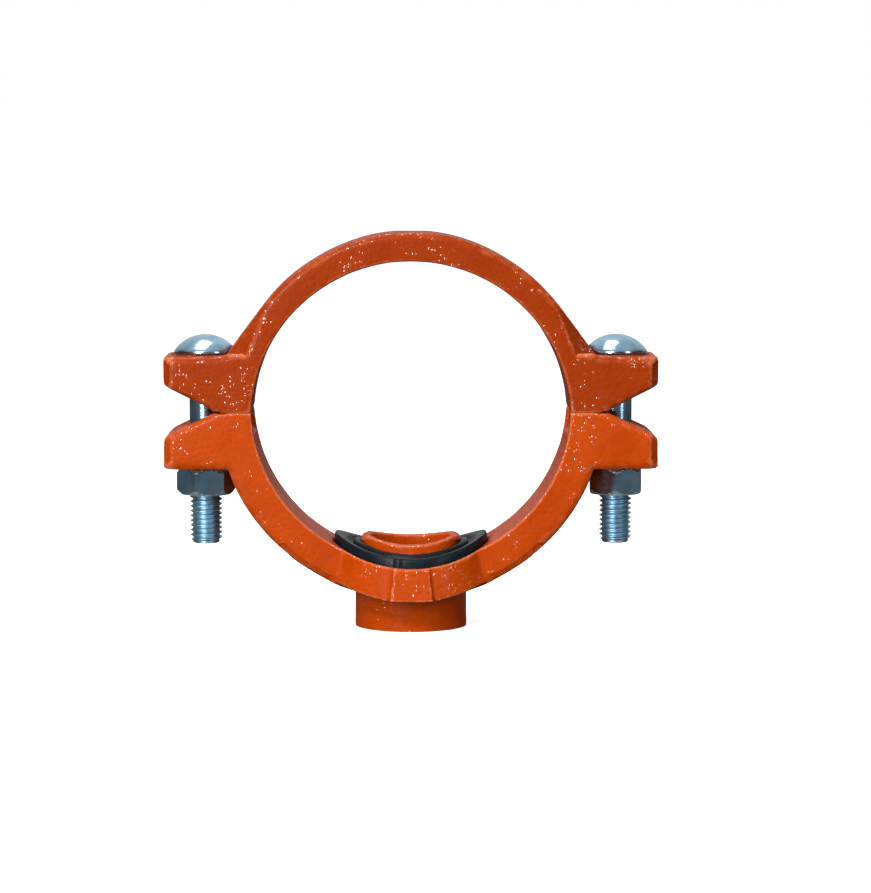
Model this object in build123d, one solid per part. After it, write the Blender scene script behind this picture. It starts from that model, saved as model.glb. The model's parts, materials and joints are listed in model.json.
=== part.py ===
from build123d import *
import math
import os

# Mechanical tee for a DN100 run pipe with a threaded 1 inch outlet, in millimetres.
# The origin is where the run-pipe axis (Y) meets the outlet axis (Z).  +Z is up, the
# outlet boss points down, and the two bolts stand at +X and -X.

# ---- run pipe, hole and outlet -------------------------------------------------
SADDLE_R = 58.25            # bore radius that both castings wrap around the pipe
PIPE_HOLE_WALL_R = 51.1     # inside of the pipe wall, where the locating collar ends
COLLAR_OUT_R = 18.0         # collar that locates in the hole cut in the pipe
WATERWAY_R = 14.75
THREAD_MINOR_R = 15.145     # crest radius of the 1 inch parallel pipe thread
THREAD_DEPTH = 20.0
THREAD_MOUTH_R = 17.0
BOSS_R = 20.5
BOSS_END_Z = -82.7

# ---- cast bands ----------------------------------------------------------------
HALF_WIDTH = 17.75          # half of the castings' width along the pipe
DRAFT_DEG = 2.0             # pattern draft on each side of the parting plane
SPLIT_Z = -2.7              # plane where the two castings meet
STRAP_CENTRE_Z = -6.1       # centre of the strap's bore with the castings closed
STRAP_OUT_R = 65.8
STRAP_OUT_CENTRE_Z = -3.4
STRAP_FLANK_DEG = 35.5      # slope of the flank that runs out to the ear
OUTLET_OUT_R = 68.7
OUTLET_OUT_CENTRE_Z = -1.7
EDGE_CUT = 1.2              # bevel of the castings' outer edges
BORE_EDGE_CUT = 0.6

# ---- ears ----------------------------------------------------------------------
BOLT_X = 75.5
EAR_END_X = 90.1
EAR_CORNER_X = 3.6          # corners cut from the ears in plan
EAR_CORNER_Y = 4.6
CONTACT_X = 70.5            # the castings touch from the bore out to here
FLANK_BEVEL_X = 58.6        # the strap's flanks are bevelled from here, at the ear's top
FLANK_BEVEL_DEG = 21.0      # lean of the bevel's edge on the casting's face
FLANK_BEVEL_SLANT = 1.3     # face width of the bevel over its depth along the pipe
STRAP_EAR_TOP_Z = 16.8
STRAP_EAR_LOW_Z = 7.3       # lower edge at the strap ear's end
OUTLET_EAR_HIGH_Z = -11.6   # upper edge at the outlet ear's end
OUTLET_EAR_BOTTOM_Z = -22.2
HEAD_PAD_R = 11.2
HEAD_PAD_H = 1.2
HEAD_ROOM = 0.4             # spot-facing around the bolt head, into the flank's root
NUT_PAD_R = 12.4
NUT_PAD_H = 1.8
NUT_HOLE_R = 6.75
NECK_CLEARANCE = 0.4

# ---- gasket pocket -------------------------------------------------------------
GASKET_OUT_R = 28.4
GASKET_IN_R = 18.2
POCKET_R = 28.8
POCKET_FLOOR_R = 61.9       # radius of the floor about the run-pipe axis
POCKET_WALL_R = 30.7        # outside of the pocket wall at the bore
POCKET_DRAFT_DEG = 8.0
POCKET_BLEND_R = 13.0       # hollow blend from the band to the round wall
TAB_WIDTH = 17.0
TAB_PROUD = 0.9             # the flat tab across each face of the pocket wall stands out this far
RELIEF_HEIGHT = 8.0         # shallow relief in the bore beside the split
RELIEF_HALF_WIDTH = 13.0
RELIEF_DEPTH = 1.2

# ---- saddle gasket, radii of its tops and floor about the run-pipe axis ----------
GASKET_FLOOR_R = 61.85
GASKET_INNER_LIP_R = 21.0   # the inner lip runs from the collar out to here
GASKET_OUTER_LIP_R = 24.2   # the outer lip starts here
GASKET_INNER_TOP_R = 54.2
GASKET_GROOVE_TOP_R = 56.8
GASKET_OUTER_TOP_R = 55.0

# ---- bolts and nuts, M12 x 70 oval-neck track bolts ------------------------------
BOLT_LENGTH = 70.0
SHANK_R = 5.9
THREAD_PITCH_R = 5.43       # the threaded length, as its pitch cylinder
THREADED_LENGTH = 44.0
HEAD_R = 11.4
HEAD_H = 7.0
HEAD_RIM_H = 1.1
NECK_WIDTH = 12.4
NECK_LENGTH = 16.0
NECK_H = 8.0
BOLT_END_CHAMFER = 0.9
NUT_FLATS = 18.8
NUT_H = 10.0
NUT_BORE_R = 5.6
NUT_CHAMFER_DEG = 30.0
NUT_TURN_DEG = {"left": 10.0, "right": 28.0}
SIDES = {"left": -1, "right": 1}

HEAD_SEAT_Z = STRAP_EAR_TOP_Z + HEAD_PAD_H
NUT_SEAT_Z = OUTLET_EAR_BOTTOM_Z - NUT_PAD_H
OVER = 4.0                  # how far a cutting body runs past what it cuts


def run_cylinder(radius, half_length, centre_z=0.0):
    """Cylinder along the run pipe."""
    return Pos(0, 0, centre_z) * Rot(90, 0, 0) * Cylinder(radius, 2 * half_length)


def post(radius, low, high, x=0.0):
    """Upright cylinder between two heights."""
    return Pos(x, 0, low) * Cylinder(radius, high - low, align=(Align.CENTER, Align.CENTER, Align.MIN))


def slab(low, high):
    """Wide block between two heights, to trim a casting flat."""
    size = 4 * EAR_END_X
    return Pos(0, 0, low) * Box(size, size, high - low, align=(Align.CENTER, Align.CENTER, Align.MIN))


def drafted(outline):
    """Casting from its outline at the parting plane, thinner towards both faces."""
    face = outline.sketch.face()
    front = extrude(face, HALF_WIDTH, taper=DRAFT_DEG)
    return front + mirror(front, about=Plane.XZ)


def ear_plan_cuts():
    """Wedges that cut the upright corners off the ears."""
    with BuildSketch() as plan:
        for sx in (-1, 1):
            for sy in (-1, 1):
                x, y = sx * EAR_END_X, sy * HALF_WIDTH
                with BuildLine():
                    Polyline(
                        (x - sx * EAR_CORNER_X, y),
                        (x, y - sy * EAR_CORNER_Y),
                        (x + sx * OVER, y - sy * EAR_CORNER_Y),
                        (x + sx * OVER, y + sy * OVER),
                        (x - sx * EAR_CORNER_X, y + sy * OVER),
                        close=True,
                    )
                make_face()
    cut = extrude(plan.sketch, 4 * HALF_WIDTH, both=True)
    return cut


def strap_outline():
    """Strap seen along the pipe: an arch, two flanks and two wedge-shaped ears."""
    flank = math.radians(STRAP_FLANK_DEG)
    tangent_x = STRAP_OUT_R * math.cos(flank)
    tangent_z = STRAP_OUT_CENTRE_Z + STRAP_OUT_R * math.sin(flank)
    root_x = tangent_x + (tangent_z - STRAP_EAR_TOP_Z) * math.tan(flank)
    crown = (0, STRAP_OUT_CENTRE_Z + STRAP_OUT_R)
    low = SPLIT_Z - OVER
    low_x = CONTACT_X - OVER
    with BuildSketch(Plane.XZ) as outline:
        with BuildLine():
            ThreePointArc((-tangent_x, tangent_z), crown, (tangent_x, tangent_z))
            Polyline(
                (tangent_x, tangent_z),
                (root_x, STRAP_EAR_TOP_Z),
                (EAR_END_X, STRAP_EAR_TOP_Z),
                (EAR_END_X - 0.4, STRAP_EAR_LOW_Z),
                (CONTACT_X + 3.0, SPLIT_Z + 2.0),
                (low_x, low),
                (-low_x, low),
                (-CONTACT_X - 3.0, SPLIT_Z + 2.0),
                (-EAR_END_X + 0.4, STRAP_EAR_LOW_Z),
                (-EAR_END_X, STRAP_EAR_TOP_Z),
                (-root_x, STRAP_EAR_TOP_Z),
                (-tangent_x, tangent_z),
            )
        make_face()
        roots = outline.vertices().filter_by(lambda v: abs(abs(v.X) - root_x) < 0.01)
        fillet(roots, 3.0)
    return outline


def outlet_outline():
    """Outlet casting seen along the pipe: a half ring with two ears under the split."""
    root_drop = OUTLET_EAR_BOTTOM_Z - OUTLET_OUT_CENTRE_Z
    root_x = math.sqrt(OUTLET_OUT_R**2 - root_drop**2)
    bottom = (0, OUTLET_OUT_CENTRE_Z - OUTLET_OUT_R)
    high = SPLIT_Z + OVER
    high_x = CONTACT_X - 2 * OVER
    with BuildSketch(Plane.XZ) as outline:
        with BuildLine():
            ThreePointArc((-root_x, OUTLET_EAR_BOTTOM_Z), bottom, (root_x, OUTLET_EAR_BOTTOM_Z))
            Polyline(
                (root_x, OUTLET_EAR_BOTTOM_Z),
                (EAR_END_X, OUTLET_EAR_BOTTOM_Z),
                (EAR_END_X - 0.4, OUTLET_EAR_HIGH_Z - 1.0),
                (EAR_END_X - 2.6, OUTLET_EAR_HIGH_Z + 1.0),
                (CONTACT_X, SPLIT_Z),
                (high_x, high),
                (-high_x, high),
                (-CONTACT_X, SPLIT_Z),
                (-EAR_END_X + 2.6, OUTLET_EAR_HIGH_Z + 1.0),
                (-EAR_END_X + 0.4, OUTLET_EAR_HIGH_Z - 1.0),
                (-EAR_END_X, OUTLET_EAR_BOTTOM_Z),
                (-root_x, OUTLET_EAR_BOTTOM_Z),
            )
        make_face()
        roots = outline.vertices().filter_by(lambda v: abs(abs(v.X) - root_x) < 0.01)
        fillet(roots, 2.5)
    return outline



def soften(casting):
    """Bevel the outer edges of both faces of a casting."""
    rims = [e for e in casting.edges() if abs(abs(e.center().Y) - HALF_WIDTH) < 0.01]
    return chamfer(rims, EDGE_CUT)


def flank_bevels():
    """Slanting cuts that thin the strap's flanks where they rise from the ears."""
    lean = math.radians(FLANK_BEVEL_DEG)
    reach = 10 * OVER
    cuts = []
    for sx in (-1, 1):
        for sy in (-1, 1):
            edge = Vector(-sx * math.sin(lean), 0, math.cos(lean))
            normal = Vector(sx * math.cos(lean), sy / FLANK_BEVEL_SLANT, math.sin(lean))
            start = Vector(sx * FLANK_BEVEL_X, sy * HALF_WIDTH, STRAP_EAR_TOP_Z)
            plane = Plane(origin=start, x_dir=edge, z_dir=normal)
            cut = plane * Box(2 * reach, 2 * reach, reach, align=(Align.CENTER, Align.CENTER, Align.MIN))
            cuts.append(cut & slab(STRAP_EAR_TOP_Z, STRAP_EAR_TOP_Z + reach))
    return cuts


def strap_housing():
    """Plain half: an arch with a wedge-shaped ear and an oval bolt hole at each end."""
    casting = soften(drafted(strap_outline())) - ear_plan_cuts()
    for cut in flank_bevels():
        casting -= cut
    for x in (-BOLT_X, BOLT_X):
        casting += post(HEAD_PAD_R, STRAP_EAR_TOP_Z - OVER, HEAD_SEAT_Z, x)
        casting -= post(HEAD_R + HEAD_ROOM, HEAD_SEAT_Z, HEAD_SEAT_Z + 2 * OVER, x)
    casting -= slab(SPLIT_Z - 4 * OVER, SPLIT_Z)
    casting -= run_cylinder(SADDLE_R, 2 * HALF_WIDTH, STRAP_CENTRE_Z)
    casting = chamfer(bore_edges(casting, SADDLE_R), BORE_EDGE_CUT)
    for x in (-BOLT_X, BOLT_X):
        casting -= neck_prism(x, SPLIT_Z - OVER, HEAD_SEAT_Z + OVER, NECK_CLEARANCE)
    return casting


def bore_edges(casting, radius):
    """Long curved edges where the bore meets the two faces."""
    return [
        e
        for e in casting.edges()
        if e.geom_type == GeomType.CIRCLE
        and abs(e.radius - radius) < 0.01
        and abs(abs(e.center().Y) - HALF_WIDTH) < 0.01
    ]


def neck_prism(x, low, high, clearance=0.0):
    """Oval prism of the bolt's neck, its long side across the pipe."""
    with BuildSketch(Plane.XY.offset(low)) as oval:
        with Locations((x, 0)):
            SlotOverall(NECK_LENGTH + 2 * clearance, NECK_WIDTH + 2 * clearance)
    return extrude(oval.sketch, high - low)


def pocket_bulge():
    """Round wall of the gasket pocket with a flat tab on each face, blended into the band."""
    top_z = -math.sqrt(SADDLE_R**2 - POCKET_WALL_R**2)
    bottom_z = OUTLET_OUT_CENTRE_Z - OUTLET_OUT_R - OVER
    growth = (-SADDLE_R - bottom_z) * math.tan(math.radians(POCKET_DRAFT_DEG))
    with BuildSketch(Plane.XY.offset(bottom_z)) as plan:
        Circle(POCKET_WALL_R + growth)
        Rectangle(TAB_WIDTH, 2 * (POCKET_WALL_R + growth + TAB_PROUD))
        Rectangle(2 * BOSS_R + 4 * POCKET_BLEND_R, 2 * HALF_WIDTH - 2.0)
        inner = [v for v in plan.vertices() if TAB_WIDTH < abs(v.X) < POCKET_WALL_R]
        fillet(inner, POCKET_BLEND_R)
    wall = extrude(plan.sketch, top_z - bottom_z + OVER, taper=POCKET_DRAFT_DEG)
    return wall & run_cylinder(OUTLET_OUT_R, 3 * HALF_WIDTH, OUTLET_OUT_CENTRE_Z)


def outlet_housing():
    """Outlet half: saddle, gasket pocket, locating collar, threaded boss and two ears."""
    casting = soften(drafted(outlet_outline())) - ear_plan_cuts()
    for x in (-BOLT_X, BOLT_X):
        casting += post(NUT_PAD_R, NUT_SEAT_Z, OUTLET_EAR_BOTTOM_Z + OVER, x)
    casting += pocket_bulge()
    casting += post(BOSS_R, BOSS_END_Z, OUTLET_OUT_CENTRE_Z - OUTLET_OUT_R + 2 * OVER)
    casting -= slab(SPLIT_Z, SPLIT_Z + 4 * OVER)
    casting -= run_cylinder(SADDLE_R, 3 * HALF_WIDTH)
    relief = run_cylinder(SADDLE_R + RELIEF_DEPTH, RELIEF_HALF_WIDTH)
    casting -= relief & slab(SPLIT_Z - RELIEF_HEIGHT, SPLIT_Z + OVER)
    pocket = post(POCKET_R, -POCKET_FLOOR_R - OVER, 0) - post(COLLAR_OUT_R, -POCKET_FLOOR_R - OVER, 0)
    casting -= pocket & run_cylinder(POCKET_FLOOR_R, 3 * HALF_WIDTH)
    collar = post(COLLAR_OUT_R, -POCKET_FLOOR_R - OVER, 0) - run_cylinder(PIPE_HOLE_WALL_R, 3 * HALF_WIDTH)
    casting += collar & slab(-2 * POCKET_FLOOR_R, -PIPE_HOLE_WALL_R / 2)
    casting -= post(WATERWAY_R, BOSS_END_Z - OVER, 0)
    casting -= post(THREAD_MINOR_R, BOSS_END_Z - OVER, BOSS_END_Z + THREAD_DEPTH)
    mouth_h = THREAD_MOUTH_R - THREAD_MINOR_R
    mouth = Cone(THREAD_MOUTH_R, THREAD_MINOR_R, mouth_h, align=(Align.CENTER, Align.CENTER, Align.MIN))
    casting -= Pos(0, 0, BOSS_END_Z) * mouth
    for x in (-BOLT_X, BOLT_X):
        casting -= post(NUT_HOLE_R, NUT_SEAT_Z - OVER, 0, x)
    return casting


def gasket_ring(inner_r, outer_r, top_r):
    """Band of the saddle gasket between two upright cylinders, up to a radius about the pipe."""
    band = post(outer_r, -GASKET_FLOOR_R - OVER, -PIPE_HOLE_WALL_R / 2)
    band -= post(inner_r, -GASKET_FLOOR_R - 2 * OVER, 0)
    band -= run_cylinder(top_r, 3 * HALF_WIDTH)
    return band & run_cylinder(GASKET_FLOOR_R, 3 * HALF_WIDTH)


def gasket():
    """Saddle gasket with an outer lip, a groove and an inner lip."""
    ring = gasket_ring(GASKET_IN_R, GASKET_INNER_LIP_R, GASKET_INNER_TOP_R)
    ring += gasket_ring(GASKET_INNER_LIP_R, GASKET_OUTER_LIP_R, GASKET_GROOVE_TOP_R)
    ring += gasket_ring(GASKET_OUTER_LIP_R, GASKET_OUT_R, GASKET_OUTER_TOP_R)
    return ring


def track_bolt(side):
    """Oval-neck bolt with a round domed head, hanging head up in the strap's ear."""
    x = SIDES[side] * BOLT_X
    dome_h = HEAD_H - HEAD_RIM_H
    with BuildSketch(Plane.XZ) as half_head:
        with BuildLine():
            Line((0, 0), (HEAD_R, 0))
            Line((HEAD_R, 0), (HEAD_R, HEAD_RIM_H))
            sphere_r = (HEAD_R**2 + dome_h**2) / (2 * dome_h)
            RadiusArc((HEAD_R, HEAD_RIM_H), (0, HEAD_H), -sphere_r)
            Line((0, HEAD_H), (0, 0))
        make_face()
    bolt = Pos(x, 0, HEAD_SEAT_Z) * revolve(half_head.sketch, Axis.Z)
    bolt += neck_prism(x, HEAD_SEAT_Z - NECK_H, HEAD_SEAT_Z)
    end_z = HEAD_SEAT_Z - BOLT_LENGTH
    bolt += post(SHANK_R, end_z + THREADED_LENGTH, HEAD_SEAT_Z, x)
    thread = post(THREAD_PITCH_R, end_z, end_z + THREADED_LENGTH, x)
    thread = chamfer(thread.edges().group_by(Axis.Z)[0], BOLT_END_CHAMFER)
    return bolt + thread


def hex_nut(side):
    """Hexagon nut chamfered on both faces, tight under the outlet ear."""
    x = SIDES[side] * BOLT_X
    corner_r = NUT_FLATS / math.sqrt(3)
    drop = (corner_r - NUT_FLATS / 2 + 0.3) * math.tan(math.radians(NUT_CHAMFER_DEG))
    with BuildSketch() as hexagon:
        RegularPolygon(corner_r, 6, rotation=NUT_TURN_DEG[side])
    body = extrude(hexagon.sketch, NUT_H)
    with BuildSketch(Plane.XZ) as half_turned:
        with BuildLine():
            face_r = NUT_FLATS / 2 - 0.3
            Polyline(
                (0, 0),
                (face_r, 0),
                (corner_r, drop),
                (corner_r, NUT_H - drop),
                (face_r, NUT_H),
                (0, NUT_H),
                close=True,
            )
        make_face()
    body &= revolve(half_turned.sketch, Axis.Z)
    body -= post(NUT_BORE_R, -OVER, NUT_H + OVER)
    return Pos(x, 0, NUT_SEAT_Z - NUT_H) * body


def save(solid, name):
    """Write one piece to its own STEP file."""
    export_step(solid, os.path.join("parts", name + ".step"))


os.makedirs("parts", exist_ok=True)
save(strap_housing(), "strap_housing")
save(outlet_housing(), "outlet_housing")
save(gasket(), "gasket")
for side in SIDES:
    save(track_bolt(side), "bolt_" + side)
    save(hex_nut(side), "nut_" + side)
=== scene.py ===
"""Studio scene of a two-part cast mechanical tee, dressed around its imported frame."""

import json
import logging
import math
from dataclasses import dataclass, field
from enum import Enum

import bmesh
import bpy
from mathutils import Matrix, Vector

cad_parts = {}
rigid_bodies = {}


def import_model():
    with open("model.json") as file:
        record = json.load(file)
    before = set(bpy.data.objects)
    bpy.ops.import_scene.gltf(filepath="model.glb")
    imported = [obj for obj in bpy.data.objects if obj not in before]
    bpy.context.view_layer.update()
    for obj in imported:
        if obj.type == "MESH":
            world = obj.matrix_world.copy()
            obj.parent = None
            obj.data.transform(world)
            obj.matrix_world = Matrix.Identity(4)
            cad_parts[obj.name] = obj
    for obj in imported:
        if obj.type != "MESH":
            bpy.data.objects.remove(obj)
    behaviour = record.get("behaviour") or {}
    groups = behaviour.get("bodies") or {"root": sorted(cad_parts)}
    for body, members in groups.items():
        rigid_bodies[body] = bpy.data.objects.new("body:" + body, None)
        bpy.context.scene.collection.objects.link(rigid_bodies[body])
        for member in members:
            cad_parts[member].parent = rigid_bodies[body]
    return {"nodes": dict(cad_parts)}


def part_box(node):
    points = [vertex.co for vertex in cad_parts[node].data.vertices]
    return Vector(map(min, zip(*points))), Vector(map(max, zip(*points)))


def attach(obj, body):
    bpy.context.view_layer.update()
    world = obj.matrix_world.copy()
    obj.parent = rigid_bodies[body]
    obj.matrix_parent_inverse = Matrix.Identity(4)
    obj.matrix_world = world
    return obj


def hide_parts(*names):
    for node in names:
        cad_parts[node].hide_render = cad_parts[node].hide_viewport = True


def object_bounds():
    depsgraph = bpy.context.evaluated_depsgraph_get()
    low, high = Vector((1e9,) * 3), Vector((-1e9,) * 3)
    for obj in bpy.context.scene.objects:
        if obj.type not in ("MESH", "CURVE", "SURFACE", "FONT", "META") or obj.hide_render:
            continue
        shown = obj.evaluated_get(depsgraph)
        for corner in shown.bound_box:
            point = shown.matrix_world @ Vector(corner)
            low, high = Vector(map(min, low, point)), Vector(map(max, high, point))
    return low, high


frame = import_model()
CAD_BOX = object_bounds()
LOG = logging.getLogger("mechanical_tee")
MM = 0.001
PIPE_R = 58.25 * MM
STRAP_BORE_Z = -6.1 * MM
BOLT_X = 75.5 * MM
SEAT_R = 12.6 * MM
BOLT_HOLE_R = 9.0 * MM
SPLIT_Z = -2.7 * MM


class Side(Enum):
    """The two ends of the clamp, by the sign of X."""

    LEFT = -1
    RIGHT = 1

    @property
    def word(self) -> str:
        """Name of the side as the nodes use it."""
        return self.name.lower()


class Slot(Enum):
    """Material slots of the record."""

    CAST_PAINT = "cast_paint"
    SEAL_RUBBER = "seal_rubber"
    ZINC_STEEL = "zinc_steel"


# ---------------------------------------------------------------- shader helpers


class ShaderTree:
    """Short way to add and join nodes in a material or a node group."""

    def __init__(self, tree: bpy.types.NodeTree) -> None:
        """Wraps a node tree."""
        self.tree = tree

    def add(self, kind: str, **settings: object) -> bpy.types.Node:
        """Adds a node.

        Args:
            kind: the node's type name.
            settings: properties to set on it.

        Returns:
            The new node.
        """
        node = self.tree.nodes.new(kind)
        for name, value in settings.items():
            setattr(node, name, value)
        return node

    def join(self, source: bpy.types.NodeSocket, target: bpy.types.NodeSocket) -> None:
        """Links an output to an input."""
        self.tree.links.new(source, target)

    def feed(self, target: bpy.types.NodeSocket, value: object) -> None:
        """Gives an input either a link or a plain value."""
        if isinstance(value, bpy.types.NodeSocket):
            self.join(value, target)
        else:
            target.default_value = value

    def math(self, operation: str, *values: object, clamp: bool = False) -> bpy.types.NodeSocket:
        """Adds a Math node and returns its output."""
        node = self.add("ShaderNodeMath", operation=operation, use_clamp=clamp)
        for socket, value in zip(node.inputs, values):
            self.feed(socket, value)
        return node.outputs[0]

    def noise(self, vector: object, scale: object, detail: float, rough: float) -> bpy.types.NodeSocket:
        """Adds a noise texture and returns its value."""
        node = self.add("ShaderNodeTexNoise")
        self.feed(node.inputs["Vector"], vector)
        self.feed(node.inputs["Scale"], scale)
        node.inputs["Detail"].default_value = detail
        node.inputs["Roughness"].default_value = rough
        return node.outputs["Fac"]

    def remap(self, value: object, low: object, high: object, new_low: float = 0.0, new_high: float = 1.0):
        """Adds a clamped Map Range node and returns its output."""
        node = self.add("ShaderNodeMapRange")
        for socket, given in zip(node.inputs, (value, low, high, new_low, new_high)):
            self.feed(socket, given)
        return node.outputs[0]

    def blend(self, mask: object, first: object, second: object) -> bpy.types.NodeSocket:
        """Mixes two colours by a mask and returns the result."""
        node = self.add("ShaderNodeMix", data_type="RGBA")
        self.feed(node.inputs[0], mask)
        self.feed(node.inputs[6], first)
        self.feed(node.inputs[7], second)
        return node.outputs[2]


def group_tree(name: str, inputs: dict, outputs: dict) -> tuple:
    """Starts a shader node group with named sockets.

    Args:
        name: the group's name.
        inputs: socket names with their default values, None for a vector.
        outputs: socket names with their socket types.

    Returns:
        The wrapped tree, the input node and the output node.
    """
    tree = bpy.data.node_groups.new(name, "ShaderNodeTree")
    for label, value in inputs.items():
        kind = "NodeSocketVector" if value is None else "NodeSocketFloat"
        socket = tree.interface.new_socket(name=label, in_out="INPUT", socket_type=kind)
        if value is not None:
            socket.default_value = value
    for label, kind in outputs.items():
        tree.interface.new_socket(name=label, in_out="OUTPUT", socket_type=kind)
    shader = ShaderTree(tree)
    return shader, shader.add("NodeGroupInput"), shader.add("NodeGroupOutput")


def cast_grain_group() -> bpy.types.NodeTree:
    """Orange-peel, droplets and sand grain of a painted casting.

    Returns:
        A group with a Height, a Mottle mask, a Pit mask and the Drops' height.
    """
    shader, given, made = group_tree(
        "cast_grain",
        {
            "Vector": None,
            "Grain per m": 700.0,
            "Sand share": 0.35,
            "Drops per m": 720.0,
            "Drop size": 0.46,
            "Bare share": 0.52,
        },
        {
            "Height": "NodeSocketFloat",
            "Mottle": "NodeSocketFloat",
            "Pits": "NodeSocketFloat",
            "Drops": "NodeSocketFloat",
        },
    )
    peel = shader.noise(given.outputs["Vector"], given.outputs["Grain per m"], 2.0, 0.45)
    fine_scale = shader.math("MULTIPLY", given.outputs["Grain per m"], 3.1)
    sand = shader.noise(given.outputs["Vector"], fine_scale, 2.0, 0.5)
    weighted = shader.math("MULTIPLY", sand, given.outputs["Sand share"])
    height = shader.math("ADD", peel, weighted)
    wide_scale = shader.math("MULTIPLY", given.outputs["Grain per m"], 0.12)
    mottle = shader.noise(given.outputs["Vector"], wide_scale, 3.0, 0.6)
    pits = shader.remap(peel, 0.38, 0.26)
    cells = shader.add("ShaderNodeTexVoronoi")
    shader.join(given.outputs["Vector"], cells.inputs["Vector"])
    shader.join(given.outputs["Drops per m"], cells.inputs["Scale"])
    reach = shader.math("DIVIDE", cells.outputs["Distance"], given.outputs["Drop size"])
    dome = shader.math("SUBTRACT", 1.0, shader.math("POWER", reach, 2.0), clamp=True)
    pick = shader.add("ShaderNodeSeparateColor")
    shader.join(cells.outputs["Color"], pick.inputs[0])
    chosen = shader.math("GREATER_THAN", pick.outputs[0], given.outputs["Bare share"])
    shader.join(shader.math("MULTIPLY", dome, chosen), made.inputs["Drops"])
    shader.join(height, made.inputs["Height"])
    shader.join(mottle, made.inputs["Mottle"])
    shader.join(pits, made.inputs["Pits"])
    return shader.tree


def edge_group() -> bpy.types.NodeTree:
    """Mask of raised edges and one of hollows, from the surface's own curvature.

    Returns:
        A group with a Ridge mask and a Hollow mask.
    """
    shader, given, made = group_tree(
        "edge_mask",
        {"Vector": None, "Breakup": 0.05},
        {"Ridge": "NodeSocketFloat", "Hollow": "NodeSocketFloat"},
    )
    point = shader.add("ShaderNodeNewGeometry").outputs["Pointiness"]
    wobble = shader.noise(given.outputs["Vector"], 260.0, 3.0, 0.6)
    centred = shader.math("SUBTRACT", wobble, 0.5)
    moved = shader.math("MULTIPLY_ADD", centred, given.outputs["Breakup"], point)
    shader.join(shader.remap(moved, 0.515, 0.57), made.inputs["Ridge"])
    shader.join(shader.remap(moved, 0.485, 0.43), made.inputs["Hollow"])
    return shader.tree


@dataclass
class Groups:
    """Effects that more than one finish uses, each built once."""

    grain: bpy.types.NodeTree = field(default_factory=cast_grain_group)
    edges: bpy.types.NodeTree = field(default_factory=edge_group)


def start_material(name: str) -> tuple:
    """Starts a node material.

    Args:
        name: the material's name.

    Returns:
        The material, its wrapped tree, the Principled BSDF and the Object coordinates.
    """
    material = bpy.data.materials.new(name)
    material.use_nodes = True
    shader = ShaderTree(material.node_tree)
    bsdf = material.node_tree.nodes["Principled BSDF"]
    coords = shader.add("ShaderNodeTexCoord").outputs["Object"]
    return material, shader, bsdf, coords


def add_bump(
    shader: ShaderTree, bsdf: bpy.types.Node, height: object, distance: float, strength: float
) -> None:
    """Feeds a height into the shader's normal through a Bump node."""
    bump = shader.add("ShaderNodeBump")
    bump.inputs["Strength"].default_value = strength
    bump.inputs["Distance"].default_value = distance
    shader.join(height, bump.inputs["Height"])
    shader.join(bump.outputs["Normal"], bsdf.inputs["Normal"])


@dataclass(frozen=True)
class CastPaint:
    """Glossy orange paint over a sand casting."""

    name: str
    colour: tuple
    deep: tuple
    # The ridge colour is a painted highlight: pale orange laid along raised edges.
    ridge_highlight: tuple = (0.80, 0.24, 0.11, 1.0)
    roughness: float = 0.42
    grain_per_m: float = 620.0
    bump_mm: float = 0.22
    drop_mm: float = 0.2

    def material(self, groups: Groups) -> bpy.types.Material:
        """Builds the paint.

        Args:
            groups: the shared effects.

        Returns:
            The material.
        """
        material, shader, bsdf, coords = start_material(self.name)
        grain = shader.add("ShaderNodeGroup", node_tree=groups.grain)
        shader.join(coords, grain.inputs["Vector"])
        grain.inputs["Grain per m"].default_value = self.grain_per_m
        edges = shader.add("ShaderNodeGroup", node_tree=groups.edges)
        shader.join(coords, edges.inputs["Vector"])
        tone = shader.remap(grain.outputs["Mottle"], 0.32, 0.68)
        body = shader.blend(tone, self.deep, self.colour)
        # Raised edges are lightened towards the ridge colour, which is a painted highlight.
        lit = shader.blend(shader.math("MULTIPLY", edges.outputs["Ridge"], 0.6), body, self.ridge_highlight)
        # Hollows and the grain's pits are darkened towards a deeper orange: painted shade.
        painted_shade = tuple(0.55 * c for c in self.deep[:3]) + (1.0,)
        hollow_shade = shader.math("MULTIPLY", edges.outputs["Hollow"], 0.6)
        shaded = shader.blend(hollow_shade, lit, painted_shade)
        pit_shaded = shader.blend(shader.math("MULTIPLY", grain.outputs["Pits"], 0.35), shaded, painted_shade)
        shader.join(pit_shaded, bsdf.inputs["Base Color"])
        smooth, dull = self.roughness - 0.06, self.roughness + 0.1
        rough = shader.remap(grain.outputs["Mottle"], 0.3, 0.7, smooth, dull)
        shader.join(rough, bsdf.inputs["Roughness"])
        bsdf.inputs["Specular IOR Level"].default_value = 0.06
        bsdf.inputs["Coat Roughness"].default_value = 0.08
        bsdf.inputs["Coat IOR"].default_value = 1.85
        add_bump(shader, bsdf, grain.outputs["Height"], self.bump_mm * MM, 1.0)
        patchy = shader.remap(grain.outputs["Mottle"], 0.5, 0.6)
        edged = shader.math("MULTIPLY", edges.outputs["Ridge"], 2.0, clamp=True)
        where = shader.math("MAXIMUM", patchy, edged)
        drops = shader.math("MULTIPLY", grain.outputs["Drops"], where)
        wet = shader.remap(drops, 0.02, 0.1, 0.02, 0.85)
        shader.join(wet, bsdf.inputs["Coat Weight"])
        peel = shader.add("ShaderNodeBump")
        peel.inputs["Distance"].default_value = self.drop_mm * MM
        shader.join(drops, peel.inputs["Height"])
        shader.join(peel.outputs["Normal"], bsdf.inputs["Coat Normal"])
        return material


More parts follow.
